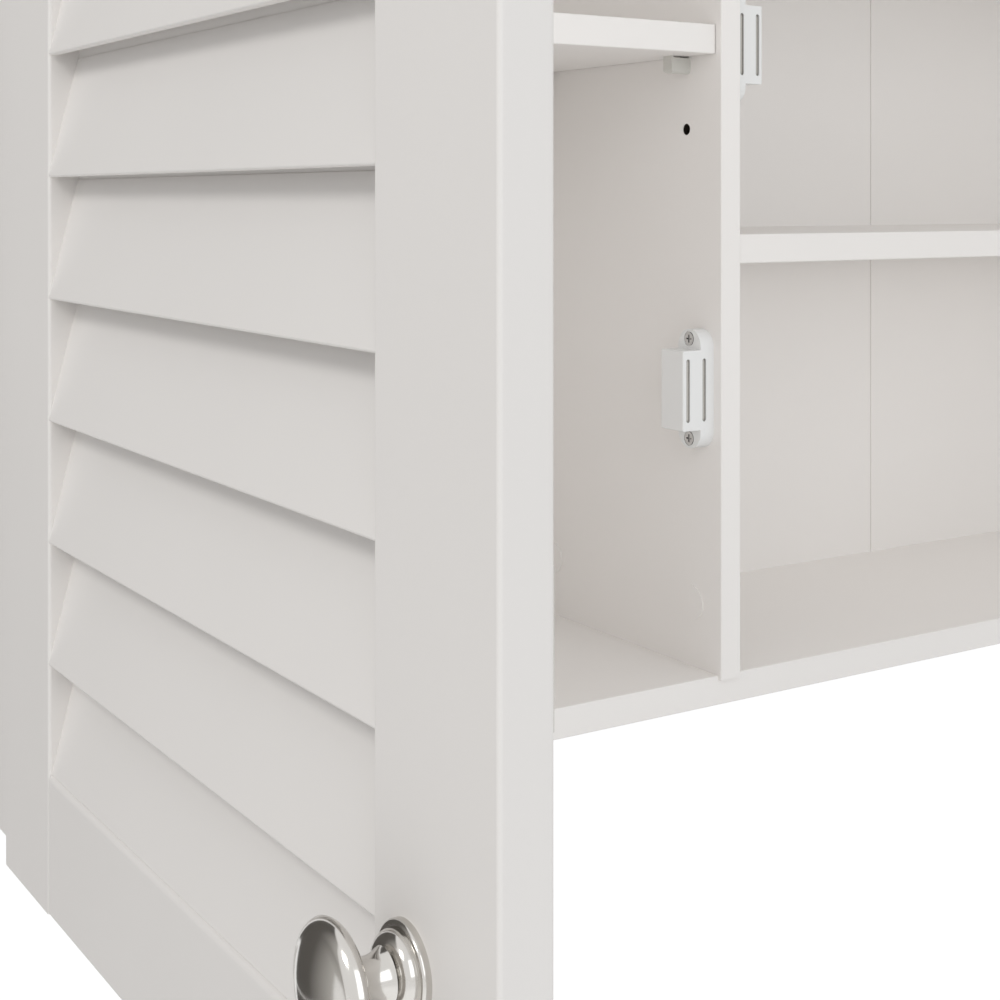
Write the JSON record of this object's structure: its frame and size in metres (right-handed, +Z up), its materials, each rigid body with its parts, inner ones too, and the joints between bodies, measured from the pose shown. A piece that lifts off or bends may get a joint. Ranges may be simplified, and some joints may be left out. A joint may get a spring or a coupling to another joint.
{
  "type": "bathroom mirror cabinet",
  "caption": "Wall-hung bathroom cabinet with a louvred door, a framed mirror door, a divider, shelves, magnetic catches and butt hinges.",
  "frame": {"origin": "midway between the two wall screw holes, in the plane of the wall", "axes": "+X to the viewer's right, +Y into the wall, +Z up; the cabinet's front faces -Y"},
  "size_m": [0.971, 0.714, 0.6743],
  "materials": {
    "white_paint": "satin white paint",
    "back_board": "satin white foil",
    "chrome": "polished chrome",
    "hinge_steel": "satin nickel",
    "screw_steel": "zinc plated",
    "white_plastic": "semi-gloss",
    "ferrite": "matte black",
    "beech": "bare wood",
    "mirror": "silvered glass"
  },
  "bodies": {
    "carcass": {"back_board_left": "back_board", "back_board_right": "back_board", "back_joint_strip": "back_board", "bottom_panel": "white_paint", "cam_bolts": "screw_steel", "cam_locks": "screw_steel", "catch_housings": "white_plastic", "catch_magnets": "ferrite", "catch_poles": "hinge_steel", "catch_screws": "screw_steel", "cover_caps": "white_plastic", "divider": "white_paint", "dowels": "beech", "fixed_hinge_screws": "screw_steel", "hanging_rail": "white_paint", "hinge_pins": "hinge_steel", "left_shelf": "white_paint", "left_side": "white_paint", "louvre_fixed_leaves": "hinge_steel", "lower_right_shelf": "white_paint", "mirror_fixed_leaves": "hinge_steel", "right_side": "white_paint", "shelf_pins": "white_plastic", "top_panel": "white_paint", "upper_right_shelf": "white_paint"},
    "louvre_door": {"louvre_backing": "back_board", "louvre_bottom_rail": "white_paint", "louvre_dowels": "beech", "louvre_free_stile": "white_paint", "louvre_hinge_leaves": "hinge_steel", "louvre_hinge_screws": "screw_steel", "louvre_hinge_stile": "white_paint", "louvre_knob": "chrome", "louvre_knob_screw": "screw_steel", "louvre_strike": "hinge_steel", "louvre_top_rail": "white_paint", "slat_01": "white_paint", "slat_02": "white_paint", "slat_03": "white_paint", "slat_04": "white_paint", "slat_05": "white_paint", "slat_06": "white_paint", "slat_07": "white_paint", "slat_08": "white_paint", "slat_09": "white_paint", "slat_10": "white_paint", "slat_11": "white_paint", "slat_12": "white_paint", "slat_13": "white_paint"},
    "mirror_door": {"mirror_backing": "back_board", "mirror_bottom_rail": "white_paint", "mirror_free_stile": "white_paint", "mirror_glass": "mirror", "mirror_hinge_leaves": "hinge_steel", "mirror_hinge_screws": "screw_steel", "mirror_hinge_stile": "white_paint", "mirror_knob": "chrome", "mirror_knob_screw": "screw_steel", "mirror_strike": "hinge_steel", "mirror_top_rail": "white_paint"}
  },
  "joints": [
    {"name": "louvre_door_swing", "type": "hinge", "parent": "carcass", "child": "louvre_door", "pos_m": [-0.4475, -0.17795, -0.295], "axis": [0, 0, -1], "range_deg": [-90, 80]},
    {"name": "mirror_door_swing", "type": "hinge", "parent": "carcass", "child": "mirror_door", "pos_m": [0.4475, -0.17795, -0.295], "axis": [0, 0, 1], "range_deg": [-90, 80]}
  ]
}
